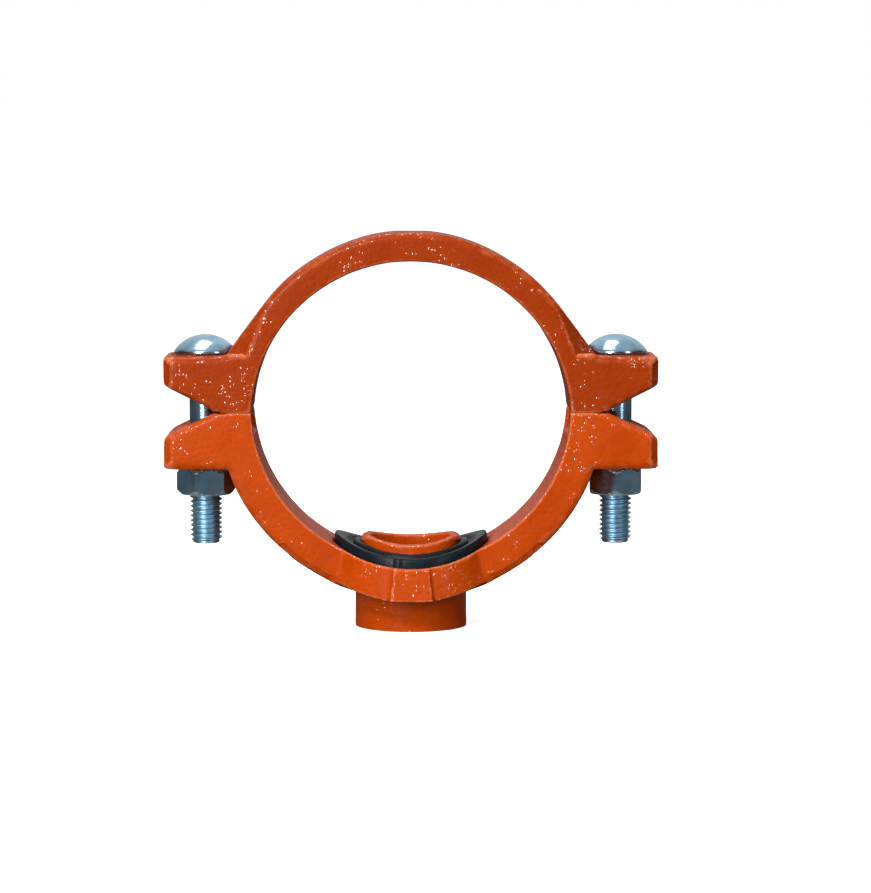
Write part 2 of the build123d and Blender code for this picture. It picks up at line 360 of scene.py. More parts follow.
@dataclass(frozen=True)
class ZincPlate:
    """Bright zinc on steel, with faint tool marks round the upright axis."""

    name: str = "bright_zinc"
    colour: tuple = (0.42, 0.65, 0.82, 1.0)
    stained: tuple = (0.25, 0.43, 0.56, 1.0)
    roughness: float = 0.15

    def material(self, groups: Groups) -> bpy.types.Material:
        """Builds the plating and returns its material."""
        material, shader, bsdf, coords = start_material(self.name)
        edges = shader.add("ShaderNodeGroup", node_tree=groups.edges)
        shader.join(coords, edges.inputs["Vector"])
        edges.inputs["Breakup"].default_value = 0.02
        stretch = shader.add("ShaderNodeMapping")
        shader.join(coords, stretch.inputs["Vector"])
        stretch.inputs["Scale"].default_value = (0.35, 0.35, 5.0)
        marks = shader.noise(stretch.outputs[0], 900.0, 4.0, 0.65)
        cloud = shader.noise(coords, 120.0, 3.0, 0.55)
        tone = shader.remap(cloud, 0.35, 0.7)
        body = shader.blend(tone, self.colour, self.stained)
        # Hollows are darkened towards near black: painted shade.
        hollow_shade = shader.math("MULTIPLY", edges.outputs["Hollow"], 0.7)
        painted_shade = shader.blend(hollow_shade, body, (0.12, 0.13, 0.15, 1.0))
        shader.join(painted_shade, bsdf.inputs["Base Color"])
        bsdf.inputs["Metallic"].default_value = 1.0
        rough = shader.remap(marks, 0.3, 0.7, self.roughness - 0.06, self.roughness + 0.12)
        shader.join(rough, bsdf.inputs["Roughness"])
        add_bump(shader, bsdf, marks, 0.02 * MM, 0.6)
        return material


@dataclass(frozen=True)
class SealRubber:
    """Black moulded rubber with a faint cool sheen and talc in its pores."""

    name: str = "seal_rubber"
    colour: tuple = (0.002, 0.006, 0.010, 1.0)
    dusty: tuple = (0.006, 0.013, 0.019, 1.0)
    roughness: float = 0.36

    def material(self, groups: Groups) -> bpy.types.Material:
        """Builds the rubber and returns its material."""
        material, shader, bsdf, coords = start_material(self.name)
        grain = shader.add("ShaderNodeGroup", node_tree=groups.grain)
        shader.join(coords, grain.inputs["Vector"])
        grain.inputs["Grain per m"].default_value = 1500.0
        tone = shader.remap(grain.outputs["Mottle"], 0.35, 0.7)
        shader.join(shader.blend(tone, self.colour, self.dusty), bsdf.inputs["Base Color"])
        smooth, dull = self.roughness - 0.08, self.roughness + 0.12
        rough = shader.remap(grain.outputs["Height"], 0.4, 0.9, smooth, dull)
        shader.join(rough, bsdf.inputs["Roughness"])
        bsdf.inputs["Specular IOR Level"].default_value = 0.16
        add_bump(shader, bsdf, grain.outputs["Height"], 0.05 * MM, 0.8)
        return material


@dataclass(frozen=True)
class PaleFloor:
    """Matt white studio floor, lit evenly out to the horizon."""

    name: str = "pale_floor"
    glow: float = 0.75
    bounce: tuple = (0.10, 0.10, 0.10, 1.0)

    def material(self) -> bpy.types.Material:
        """Builds the floor's material."""
        material, shader, bsdf, coords = start_material(self.name)
        cloud = shader.noise(coords, 3.0, 2.0, 0.5)
        pale = shader.blend(cloud, (0.90, 0.90, 0.90, 1.0), (0.93, 0.93, 0.93, 1.0))
        bsdf.inputs["Roughness"].default_value = 0.9
        bsdf.inputs["Specular IOR Level"].default_value = 0.0
        bsdf.inputs["Emission Color"].default_value = (1.0, 1.0, 1.0, 1.0)
        seen = shader.add("ShaderNodeLightPath").outputs["Is Camera Ray"]
        shader.join(shader.blend(seen, self.bounce, pale), bsdf.inputs["Base Color"])
        shader.join(shader.math("MULTIPLY", seen, self.glow), bsdf.inputs["Emission Strength"])
        return material


# ---------------------------------------------------------------- mesh helpers


class Solid:
    """Collects vertices and faces of closed shells and turns them into one object."""

    def __init__(self, name: str) -> None:
        """Starts an empty solid."""
        self.name = name
        self.points: list = []
        self.faces: list = []

    def loft(self, rings: list, closed: bool) -> None:
        """Adds a shell from rings of equal length.

        Args:
            rings: lists of points, all with the same number of points.
            closed: True to join the last ring to the first, False to cap both ends.
        """
        start = len(self.points)
        count = len(rings[0])
        for ring in rings:
            self.points.extend(ring)
        spans = len(rings) if closed else len(rings) - 1
        for i in range(spans):
            a = start + i * count
            b = start + ((i + 1) % len(rings)) * count
            for j in range(count):
                k = (j + 1) % count
                self.faces.append((a + j, a + k, b + k, b + j))
        if not closed:
            self.faces.append(tuple(start + j for j in reversed(range(count))))
            last = start + (len(rings) - 1) * count
            self.faces.append(tuple(last + j for j in range(count)))

    def mesh(self, extra: list | None = None) -> bpy.types.Mesh:
        """Makes the mesh with its faces outward.

        Args:
            extra: other meshes to take into this one.

        Returns:
            The finished mesh.
        """
        mesh = bpy.data.meshes.new(self.name)
        mesh.from_pydata(self.points, [], self.faces)
        work = bmesh.new()
        work.from_mesh(mesh)
        for other in extra or []:
            work.from_mesh(other)
        bmesh.ops.remove_doubles(work, verts=work.verts, dist=1e-7)
        bmesh.ops.recalc_face_normals(work, faces=work.faces)
        work.to_mesh(mesh)
        work.free()
        return mesh


def ramp(value: float, start: float, run: float) -> float:
    """Rises from 0 to 1 as a value goes from start over a run, and stays within them."""
    return min(max((value - start) / run, 0.0), 1.0)


def add_object(name: str, mesh: bpy.types.Mesh) -> bpy.types.Object:
    """Links a new object at the origin and returns it."""
    piece = bpy.data.objects.new(name, mesh)
    bpy.context.scene.collection.objects.link(piece)
    return piece


def reported(piece: bpy.types.Object) -> bpy.types.Object:
    """Logs a finished piece and returns it."""
    LOG.info("%s: %d faces", piece.name, len(piece.data.polygons))
    return piece


def shade(mesh: bpy.types.Mesh, sharp_deg: float) -> None:
    """Shades a mesh smooth with sharp edges past an angle."""
    mesh.shade_smooth()
    mesh.set_sharp_from_angle(angle=math.radians(sharp_deg))


def circle(radius: float, z: float, x: float = 0.0, count: int = 96) -> list:
    """Points of an upright-axis circle."""
    return [
        (x + radius * math.cos(2 * math.pi * i / count), radius * math.sin(2 * math.pi * i / count), z)
        for i in range(count)
    ]


def evaluated(piece: bpy.types.Object) -> bpy.types.Mesh:
    """Makes a plain mesh of an object with its modifiers, and keeps the object."""
    bpy.context.view_layer.update()
    graph = bpy.context.evaluated_depsgraph_get()
    return bpy.data.meshes.new_from_object(piece.evaluated_get(graph))


def baked(piece: bpy.types.Object) -> bpy.types.Mesh:
    """Makes a plain mesh of an object with its modifiers, and removes the object."""
    mesh = evaluated(piece)
    bpy.data.objects.remove(piece)
    return mesh


# ---------------------------------------------------------------- screw threads


class GeoTree:
    """Short way to build a Geometry Nodes tree."""

    def __init__(self, name: str, inputs: dict) -> None:
        """Starts a tree with named number inputs and a Material input."""
        self.tree = bpy.data.node_groups.new(name, "GeometryNodeTree")
        self.ids: dict = {}
        for label, value in inputs.items():
            kind = "NodeSocketInt" if isinstance(value, int) else "NodeSocketFloat"
            socket = self.tree.interface.new_socket(name=label, in_out="INPUT", socket_type=kind)
            socket.default_value = value
            self.ids[label] = socket.identifier
        sockets = self.tree.interface
        socket = sockets.new_socket(name="Material", in_out="INPUT", socket_type="NodeSocketMaterial")
        self.ids["Material"] = socket.identifier
        sockets.new_socket(name="Geometry", in_out="OUTPUT", socket_type="NodeSocketGeometry")
        self.given = self.tree.nodes.new("NodeGroupInput")

    def add(self, kind: str, settings: dict | None = None, **inputs: object) -> bpy.types.Node:
        """Adds a node, sets its properties and feeds its inputs by name."""
        node = self.tree.nodes.new(kind)
        for name, value in (settings or {}).items():
            setattr(node, name, value)
        for name, value in inputs.items():
            socket = node.inputs[int(name[1:])] if name[0] == "_" else node.inputs[name.replace("_", " ")]
            if isinstance(value, bpy.types.NodeSocket):
                self.tree.links.new(value, socket)
            else:
                socket.default_value = value
        return node

    def math(self, operation: str, first: object, second: object = 0.0) -> bpy.types.NodeSocket:
        """Adds a Math node and returns its output."""
        return self.add("ShaderNodeMath", {"operation": operation}, _0=first, _1=second).outputs[0]

    def input(self, label: str) -> bpy.types.NodeSocket:
        """Returns a group input's socket."""
        return self.given.outputs[label]

    def finish(self, geometry: bpy.types.NodeSocket) -> None:
        """Ends the tree in Realize Instances and Set Material."""
        real = self.add("GeometryNodeRealizeInstances", Geometry=geometry)
        finish = self.input("Material")
        dressed = self.add("GeometryNodeSetMaterial", Geometry=real.outputs[0], Material=finish)
        out = self.tree.nodes.new("NodeGroupOutput")
        self.tree.links.new(dressed.outputs[0], out.inputs["Geometry"])


@dataclass
class ThreadForm:
    """A right-hand screw ridge of trapezoid section, swept along a helix."""

    pitch: float
    wall_r: float
    depth: float
    turns: float
    start_z: float
    axis_x: float = 0.0
    start_deg: float = 0.0
    per_turn: int = 48
    inward: bool = False

    def tree(self) -> GeoTree:
        """Builds the node tree that sweeps the ridge.

        Returns:
            The tree, with its sizes as named inputs.
        """
        made = GeoTree(
            "screw_ridge",
            {
                "Pitch": 0.001,
                "Wall radius": 0.01,
                "Depth": 0.001,
                "Turns": 5.0,
                "Per turn": 48,
                "Base width": 0.001,
                "Tip width": 0.0002,
                "Lead in": 0.03,
                "Tip side": 1.0,
            },
        )
        height = made.math("MULTIPLY", made.input("Pitch"), made.input("Turns"))
        path = made.add(
            "GeometryNodeCurveSpiral",
            Resolution=made.input("Per turn"),
            Rotations=made.input("Turns"),
            Start_Radius=made.input("Wall radius"),
            End_Radius=made.input("Wall radius"),
            Height=height,
            Reverse=True,
        )
        upright = made.add("GeometryNodeSetCurveNormal", {"mode": "Z_UP"}, Curve=path.outputs[0])
        along = made.add("GeometryNodeSplineParameter").outputs["Factor"]
        left = made.math("SUBTRACT", 1.0, along)
        end = made.math("MINIMUM", along, left)
        grown = made.math("DIVIDE", end, made.input("Lead in"))
        size = made.math("MAXIMUM", made.math("MINIMUM", grown, 1.0), 0.05)
        tapered = made.add("GeometryNodeSetCurveRadius", Curve=upright.outputs[0], Radius=size)
        section = made.add(
            "GeometryNodeCurvePrimitiveQuadrilateral",
            {"mode": "TRAPEZOID"},
            Height=made.input("Depth"),
            Bottom_Width=made.input("Base width"),
            Top_Width=made.input("Tip width"),
            Offset=0.0,
        )
        half_depth = made.math("MULTIPLY", made.input("Depth"), 0.5)
        shift = made.math("MULTIPLY", half_depth, made.input("Tip side"))
        turn = made.math("MULTIPLY", made.input("Tip side"), -math.pi / 2)
        moved = made.add("GeometryNodeTransform", Geometry=section.outputs[0])
        offset = made.add("ShaderNodeCombineXYZ", X=shift)
        spin = made.add("ShaderNodeCombineXYZ", Z=turn)
        made.tree.links.new(offset.outputs[0], moved.inputs["Translation"])
        made.tree.links.new(spin.outputs[0], moved.inputs["Rotation"])
        swept = made.add(
            "GeometryNodeCurveToMesh",
            Curve=tapered.outputs[0],
            Profile_Curve=moved.outputs[0],
            Fill_Caps=True,
        )
        if "Scale" in swept.inputs:
            made.tree.links.new(size, swept.inputs["Scale"])
        made.finish(swept.outputs[0])
        return made

    def ridge(self, material: bpy.types.Material) -> bpy.types.Mesh:
        """Makes the ridge as a plain mesh in place.

        Args:
            material: the finish of the ridge.

        Returns:
            The mesh, closed and facing outward.
        """
        made = self.tree()
        carrier = add_object("ridge_carrier", bpy.data.meshes.new("ridge_carrier"))
        modifier = carrier.modifiers.new("ridge", "NODES")
        modifier.node_group = made.tree
        values = {
            "Pitch": self.pitch,
            "Wall radius": self.wall_r,
            "Depth": self.depth,
            "Turns": self.turns,
            "Per turn": self.per_turn,
            "Base width": self.pitch * 0.86,
            "Tip width": self.pitch * 0.16,
            "Tip side": -1.0 if self.inward else 1.0,
            "Material": material,
        }
        for label, value in values.items():
            modifier[made.ids[label]] = value
        mesh = baked(carrier)
        turn = Matrix.Rotation(math.radians(self.start_deg), 4, "Z")
        mesh.transform(Matrix.Translation((self.axis_x, 0.0, self.start_z)) @ turn)
        return mesh


# ---------------------------------------------------------------- sub-assemblies


@dataclass
class CastHalf:
    """One painted casting, with the soft edges and the waviness of a sand mould."""

    node: str
    body: str
    paint: CastPaint
    bore_z: float
    voxel: float = 0.65 * MM
    rounding: int = 2
    wave_mm: float = 0.22
    wave_size: float = 0.009
    far_side: float = 1.0
    draft_deg: float = 2.0
    swell_mm: float = 0.3
    flank_mm: float = 1.1
    ear_mm: float = 0.4
    bore_reach: float = 4.0 * MM
    split_reach: float = 0.8 * MM
    outlet_z: float = -50.0 * MM
    pocket_y: float = 17.0 * MM
    neck_r: float = 21.0 * MM
    flank_start: float = 35.0 * MM
    flank_run: float = 27.0 * MM
    ear_start: float = 66.0 * MM
    ear_run: float = 8.0 * MM

    def softened(self) -> bpy.types.Mesh:
        """Rounds and roughens a copy of the CAD casting.

        Returns:
            The new mesh.
        """
        mesh = frame["nodes"][self.node].data.copy()
        work = bmesh.new()
        work.from_mesh(mesh)
        bmesh.ops.remove_doubles(work, verts=work.verts, dist=1e-6)
        work.to_mesh(mesh)
        work.free()
        mesh.name = self.node + "_cast"
        piece = add_object("casting_work", mesh)
        self.prepare(piece)
        remesh = piece.modifiers.new("sand", "REMESH")
        remesh.mode = "VOXEL"
        remesh.voxel_size = self.voxel
        remesh.use_smooth_shade = True
        smooth = piece.modifiers.new("round", "SMOOTH")
        smooth.factor = 0.5
        smooth.iterations = self.rounding
        cloud = bpy.data.textures.new(self.node + "_wave", "CLOUDS")
        cloud.noise_scale = self.wave_size
        wave = piece.modifiers.new("wave", "DISPLACE")
        wave.texture = cloud
        wave.texture_coords = "LOCAL"
        wave.strength = self.wave_mm * MM
        wave.mid_level = 0.5
        mesh = baked(piece)
        self.fill_out(mesh)
        return mesh

    def outward(self, point: Vector, normal: Vector) -> float:
        """Tells how far a point belongs to the outer sides, which the draft has thinned.

        Args:
            point: a point of the casting.
            normal: the surface normal there.

        Returns:
            A weight from 0, for seats, contacts, holes and the bore, to 1.
        """
        from_bore = Vector((point.x, 0.0, point.z - self.bore_z))
        if from_bore.length < PIPE_R + self.bore_reach and normal.dot(from_bore) < 0.2 * from_bore.length:
            return 0.0
        from_bolt = Vector((abs(point.x) - BOLT_X, point.y, 0.0))
        if from_bolt.length < SEAT_R and (abs(normal.z) > 0.5 or from_bolt.length < BOLT_HOLE_R):
            return 0.0
        if abs(point.z - SPLIT_Z) < self.split_reach and abs(point.x) < BOLT_X:
            return 0.0
        by_outlet = abs(point.y) > self.pocket_y or math.hypot(point.x, point.y) < self.neck_r
        if point.z < self.outlet_z and by_outlet:
            return 0.0
        return math.hypot(normal.x, normal.z)

    def crisp(self, point: Vector, normal: Vector) -> Vector:
        """Gives a point's place after any reshaping; the plain casting leaves it where it is."""
        return point

    def fullness(self, point: Vector, way: Vector) -> float:
        """Extra metal where the ring runs out into the ears, on the sides away from the split.

        Args:
            point: a point of the casting.
            way: the surface normal there, in the plane across the pipe.

        Returns:
            A distance in metres.
        """
        if way.z * self.far_side < 0.15:
            return 0.0
        run = ramp(abs(point.x), self.flank_start, self.flank_run)
        past = ramp(abs(point.x), self.ear_start, self.ear_run)
        return (run * self.flank_mm * (1 - past) + past * self.ear_mm) * MM

    def fill_out(self, mesh: bpy.types.Mesh) -> None:
        """Pushes the outer sides back out to the mould's full outline, inside the CAD node's box."""
        low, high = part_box(self.node)
        lean = math.tan(math.radians(self.draft_deg))
        moved = []
        for vertex in mesh.vertices:
            point, normal = vertex.co, vertex.normal
            weight = self.outward(point, normal)
            flat = Vector((normal.x, 0.0, normal.z))
            push = weight * (abs(point.y) * lean + self.swell_mm * MM)
            if flat.length > 1e-6:
                push += weight * self.fullness(point, flat.normalized())
                point = point + flat.normalized() * push
            point = self.crisp(point, normal)
            moved.append([min(max(v, a), b) for v, a, b in zip(point, low, high)])
        for vertex, place in zip(mesh.vertices, moved):
            vertex.co = place

    def prepare(self, piece: bpy.types.Object) -> None:
        """Cuts what the casting needs before it is softened."""

    def dress(self, groups: Groups) -> bpy.types.Object:
        """Builds the visible casting.

        Args:
            groups: the shared effects.

        Returns:
            The finished piece.
        """
        mesh = self.softened()
        mesh.materials.clear()
        mesh.materials.append(self.paint.material(groups))
        mesh.shade_smooth()
        piece = add_object(self.node + "_casting", mesh)
        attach(piece, self.body)
        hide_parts(self.node)
        return reported(piece)


@dataclass
class OutletCasting(CastHalf):
    """The outlet half, with the pipe thread cut in its boss."""

    major_r: float = 16.62 * MM
    thread_pitch: float = 2.309 * MM
    thread_depth: float = 1.48 * MM
    thread_length: float = 19.0 * MM
    boss_r: float = 20.5 * MM
    boss_top: float = -70.0 * MM
    horn_z: float = -54.0 * MM
    horn_r: float = 19.2 * MM
    horn_start: float = 14.5 * MM
    horn_run: float = 3.5 * MM
    horn_rise: float = 5.0 * MM
    horn_drop: float = 1.3 * MM
    boss_wall: float = 1.2 * MM
    boss_swell: float = 0.7 * MM

    def crisp(self, point: Vector, normal: Vector) -> Vector:
        """Rounds the collar's two horns, and fills the boss out to its full radius and length."""
        radius = math.hypot(point.x, point.y)
        if point.z > self.horn_z and radius < self.horn_r:
            side = ramp(abs(point.x), self.horn_start, self.horn_run)
            rise = ramp(point.z, self.horn_z, self.horn_rise)
            return Vector((point.x, point.y, point.z - self.horn_drop * side * side * rise))
        if point.z > self.boss_top or radius < self.major_r + self.boss_wall:
            return point
        outer = Vector((point.x, point.y, 0.0))
        if outer.dot(normal) < 0.0:
            return point
        grown = point + normal * self.boss_swell
        size = math.hypot(grown.x, grown.y)
        scale = min(1.0, self.boss_r / size)
        return Vector((grown.x * scale, grown.y * scale, grown.z))

    def prepare(self, piece: bpy.types.Object) -> None:
        """Opens the boss to the thread's major radius."""
        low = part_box(self.node)[0].z
        drill = Solid("drill")
        ends = (low - 2.0 * MM, low + self.thread_length)
        drill.loft([circle(self.major_r, z) for z in ends], False)
        tool = add_object("drill_work", drill.mesh())
        cut = piece.modifiers.new("drill", "BOOLEAN")
        cut.operation = "DIFFERENCE"
        cut.solver = "EXACT"
        cut.object = tool
        mesh = evaluated(piece)
        piece.modifiers.clear()
        piece.data = mesh
        bpy.data.objects.remove(tool)

    def thread(self, material: bpy.types.Material) -> bpy.types.Object:
        """Adds the outlet's internal pipe thread.

        Args:
            material: the paint of the casting.

        Returns:
            The finished piece.
        """
        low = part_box(self.node)[0].z
        form = ThreadForm(
            pitch=self.thread_pitch,
            wall_r=self.major_r + 0.1 * MM,
            depth=self.thread_depth,
            turns=(self.thread_length - 2.0 * MM) / self.thread_pitch,
            start_z=low + 1.2 * MM,
            per_turn=96,
            inward=True,
        )
        mesh = Solid("outlet_thread").mesh([form.ridge(material)])
        mesh.materials.append(material)
        shade(mesh, 35)
        piece = add_object("outlet_thread", mesh)
        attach(piece, self.body)
        return reported(piece)


@dataclass
class SaddleGasket:
    """Ring seal whose upright profile follows the run pipe's curve."""

    node: str = "gasket"
    body: str = "outlet_half"
    steps: int = 180
    flash_deg: tuple = (257.5, 261.5, 77.5)
    flash_half_deg: float = 0.8
    flash_mm: float = 0.25
    rim_mm: float = 28.0

    def profile(self) -> list:
        """Section of the ring.

        Returns:
            Pairs of distance from the outlet axis and radius about the run-pipe axis, in millimetres.
        """
        return [
            (18.3, 61.6), (18.25, 60.0), (18.25, 56.2), (18.35, 55.0), (18.8, 54.4), (19.5, 54.25),
            (20.3, 54.45), (20.85, 55.0), (21.1, 56.0), (21.5, 56.7), (22.2, 56.95), (23.1, 56.85),
            (23.7, 56.4), (24.0, 55.8), (24.5, 55.3), (25.2, 55.1), (26.6, 55.05), (27.6, 55.15),
            (28.15, 55.5), (28.35, 56.2), (28.4, 58.0), (28.4, 60.4), (28.2, 61.4), (27.6, 61.8),
            (24.0, 61.85), (19.0, 61.8),
        ]

    def flash(self, angle: float) -> float:
        """Height of the mould's fine flash lines at an angle round the outlet, in millimetres."""
        ridge = 0.0
        for centre in self.flash_deg:
            ridge = max(ridge, 1.0 - abs(angle - math.radians(centre)) / math.radians(self.flash_half_deg))
        return self.flash_mm * max(ridge, 0.0)

    def dress(self, groups: Groups) -> bpy.types.Object:
        """Builds the seal in place of its CAD solid and returns it."""
        angles = {2 * math.pi * i / self.steps for i in range(self.steps)}
        for centre in self.flash_deg:
            angles |= {math.radians(centre + 0.5 * i * self.flash_half_deg) for i in range(-2, 3)}
        rings = []
        for radius, pipe_r in self.profile():
            ring = []
            for angle in sorted(angles):
                out = radius
                if radius > self.rim_mm:
                    out = radius - self.flash_mm + self.flash(angle)
                x, y = out * math.cos(angle) * MM, out * math.sin(angle) * MM
                ring.append((x, y, -math.sqrt((pipe_r * MM) ** 2 - x * x)))
            rings.append(ring)
        solid = Solid("saddle_gasket")
        solid.loft(rings, True)
        mesh = solid.mesh()
        mesh.materials.append(SealRubber().material(groups))
        shade(mesh, 50)
        piece = add_object("saddle_gasket", mesh)
        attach(piece, self.body)
        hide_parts(self.node)
        return reported(piece)


@dataclass
class Fastener:
    """One track bolt and its nut, threaded on each other."""

    side: Side
    zinc: bpy.types.Material
    # turned is a paler zinc for the nut's chamfers, a painted highlight.
    turned: bpy.types.Material
    rolled: bpy.types.Material
    pitch: float = 1.75 * MM
    crest_r: float = 5.92 * MM
    root_r: float = 4.88 * MM
    nut_valley_r: float = 6.05 * MM
    nut_crest_r: float = 5.2 * MM
    threaded: float = 44.0 * MM
    head_r: float = 11.4 * MM
    head_h: float = 7.0 * MM
    rim_h: float = 1.1 * MM
    neck_h: float = 8.0 * MM
    neck_long: float = 16.0 * MM
    neck_wide: float = 12.4 * MM
    neck_edge: float = 0.6 * MM
    overlap: float = 0.2 * MM
    thread_start: float = 0.4 * MM
    nut_flats: float = 18.8 * MM
    nut_turn_deg: float = 10.0
    nut_chamfer_deg: float = 46.0
    axis_x: float = 0.0

    def __post_init__(self) -> None:
        """Takes the bolt's axis from its CAD node."""
        low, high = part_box(self.bolt_node)
        self.axis_x = (low.x + high.x) / 2

    @property
    def bolt_node(self) -> str:
        """Name of the bolt's CAD node."""
        return "bolt_" + self.side.word

    @property
    def nut_node(self) -> str:
        """Name of the nut's CAD node."""
        return "nut_" + self.side.word

    def head_rings(self, seat: float, top: float, count: int = 96) -> list:
        """Rings of the domed head, from its seat to its apex.

        Args:
            seat: height of the head's underside.
            top: height of the apex.
            count: points in a ring.

        Returns:
            The rings.
        """
        dome = top - seat - self.rim_h
        sphere = (self.head_r**2 + dome**2) / (2 * dome)
        soft = 0.35 * MM
        rings = [circle(self.head_r - soft, seat, self.axis_x, count)]
        rings.append(circle(self.head_r - soft * 0.3, seat + soft * 0.3, self.axis_x, count))
        rings.append(circle(self.head_r, seat + soft, self.axis_x, count))
        rings.append(circle(self.head_r, seat + self.rim_h - soft, self.axis_x, count))
        steps = 16
        reach = math.asin(self.head_r / sphere)
        for i in range(steps):
            angle = reach * (1 - i / steps) * 0.985
            z = top - sphere * (1 - math.cos(angle))
            rings.append(circle(sphere * math.sin(angle), z, self.axis_x, count))
        return rings

    def neck_ring(self, z: float, shrink: float = 0.0, count: int = 96) -> list:
        """Oval ring of the neck at a height."""
        half = (self.neck_long - self.neck_wide) / 2
        radius = self.neck_wide / 2 - shrink
        ring = []
        for i in range(count):
            angle = 2 * math.pi * i / count
            shift = half if math.cos(angle) > 1e-9 else -half
            ring.append((self.axis_x + shift + radius * math.cos(angle), radius * math.sin(angle), z))
        return ring

    def bolt(self) -> bpy.types.Object:
        """Builds the bolt in place of its CAD solid and returns it."""
        low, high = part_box(self.bolt_node)
        seat = high.z - self.head_h
        x = self.axis_x
        thread_top = low.z + self.threaded
        solid = Solid(self.bolt_node + "_steel")
        solid.loft(self.head_rings(seat, high.z), False)
        neck_end = seat - self.neck_h
        neck = [self.neck_ring(seat + self.overlap), self.neck_ring(neck_end + self.neck_edge)]
        neck.append(self.neck_ring(neck_end, self.neck_edge))
        solid.loft(neck, False)
        shank = [
            circle(self.crest_r, neck_end + 1.0 * MM, x),
            circle(self.crest_r, thread_top + 0.7 * MM, x),
            circle(self.root_r, thread_top - 0.4 * MM, x),
            circle(self.root_r, low.z + 0.3 * MM, x),
            circle(self.root_r - 0.4 * MM, low.z, x),
        ]
        solid.loft(shank, False)
        form = ThreadForm(
            pitch=self.pitch,
            wall_r=self.root_r,
            depth=self.crest_r - self.root_r,
            turns=(self.threaded - 0.5 * MM) / self.pitch,
            start_z=low.z + self.thread_start,
            axis_x=x,
        )
        mesh = solid.mesh([form.ridge(self.zinc)])
        mesh.materials.append(self.zinc)
        mesh.materials.append(self.rolled)
        for face in mesh.polygons:
            if face.center.z < thread_top:
                face.material_index = 1
        shade(mesh, 32)
        piece = add_object(self.bolt_node + "_steel", mesh)
        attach(piece, "strap")
        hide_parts(self.bolt_node)
        return reported(piece)

    def hex_ring(self, z: float, limit: float, count: int = 120) -> list:
        """Ring of the nut's hexagon, cut back to a radius.

        Args:
            z: height of the ring.
            limit: radius of the chamfer cone at that height.
            count: points in the ring.

        Returns:
            The points of the ring.
        """
        ring = []
        for i in range(count):
            angle = 2 * math.pi * i / count
            within = (angle + math.pi / 6) % (math.pi / 3) - math.pi / 6
            flat = self.nut_flats / 2 / math.cos(math.pi / 6 - abs(within))
            radius = min(flat, limit)
            turned = angle + math.radians(self.nut_turn_deg)
            ring.append((self.axis_x + radius * math.cos(turned), radius * math.sin(turned), z))
        return ring

    def nut(self) -> bpy.types.Object:
        """Builds the nut in place of its CAD solid and returns it."""
        low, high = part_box(self.nut_node)
        corner = self.nut_flats / math.sqrt(3)
        face_r = self.nut_flats / 2 - 0.3 * MM
        drop = (corner - face_r) * math.tan(math.radians(self.nut_chamfer_deg))
        steps = 8
        levels = []
        for i in range(steps + 1):
            share = i / steps
            levels.append((low.z + drop * share, face_r + (corner - face_r) * share))
        for i in range(steps + 1):
            share = 1 - i / steps
            levels.append((high.z - drop * share, face_r + (corner - face_r) * share))
        rings = [self.hex_ring(z, limit) for z, limit in levels]
        mouth = 0.5 * MM
        wall = self.nut_valley_r
        count = len(rings[0])
        turn = math.radians(self.nut_turn_deg)

        def hole(radius: float, z: float) -> list:
            """Ring of the nut's hole, in step with the hexagon's points."""
            return [
                (
                    self.axis_x + radius * math.cos(2 * math.pi * i / count + turn),
                    radius * math.sin(2 * math.pi * i / count + turn),
                    z,
                )
                for i in range(count)
            ]

        rings.append(hole(wall + mouth * 0.6, high.z))
        rings.append(hole(wall, high.z - mouth))
        rings.append(hole(wall, low.z + mouth))
        rings.append(hole(wall + mouth * 0.6, low.z))
        solid = Solid(self.nut_node + "_steel")
        solid.loft(rings, True)
        bolt_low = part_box(self.bolt_node)[0].z
        first = bolt_low + self.thread_start + self.pitch / 2
        skipped = math.ceil((low.z + mouth - first) / self.pitch)
        form = ThreadForm(
            pitch=self.pitch,
            wall_r=wall + 0.05 * MM,
            depth=wall + 0.05 * MM - self.nut_crest_r,
            turns=(high.z - low.z - 2.4 * MM) / self.pitch,
            start_z=first + skipped * self.pitch,
            axis_x=self.axis_x,
            inward=True,
        )
        mesh = solid.mesh([form.ridge(self.zinc)])
        mesh.materials.append(self.zinc)
        # The nut's chamfer faces get the paler zinc, which is a painted highlight.
        mesh.materials.append(self.turned)
        for face in mesh.polygons:
            away = math.hypot(face.center.x - self.axis_x, face.center.y)
            if away > face_r and 0.2 < abs(face.normal.z) < 0.95:
                face.material_index = 1
        shade(mesh, 24)
        piece = add_object(self.nut_node + "_steel", mesh)
        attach(piece, self.nut_node)
        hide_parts(self.nut_node)
        return reported(piece)


# ---------------------------------------------------------------- studio


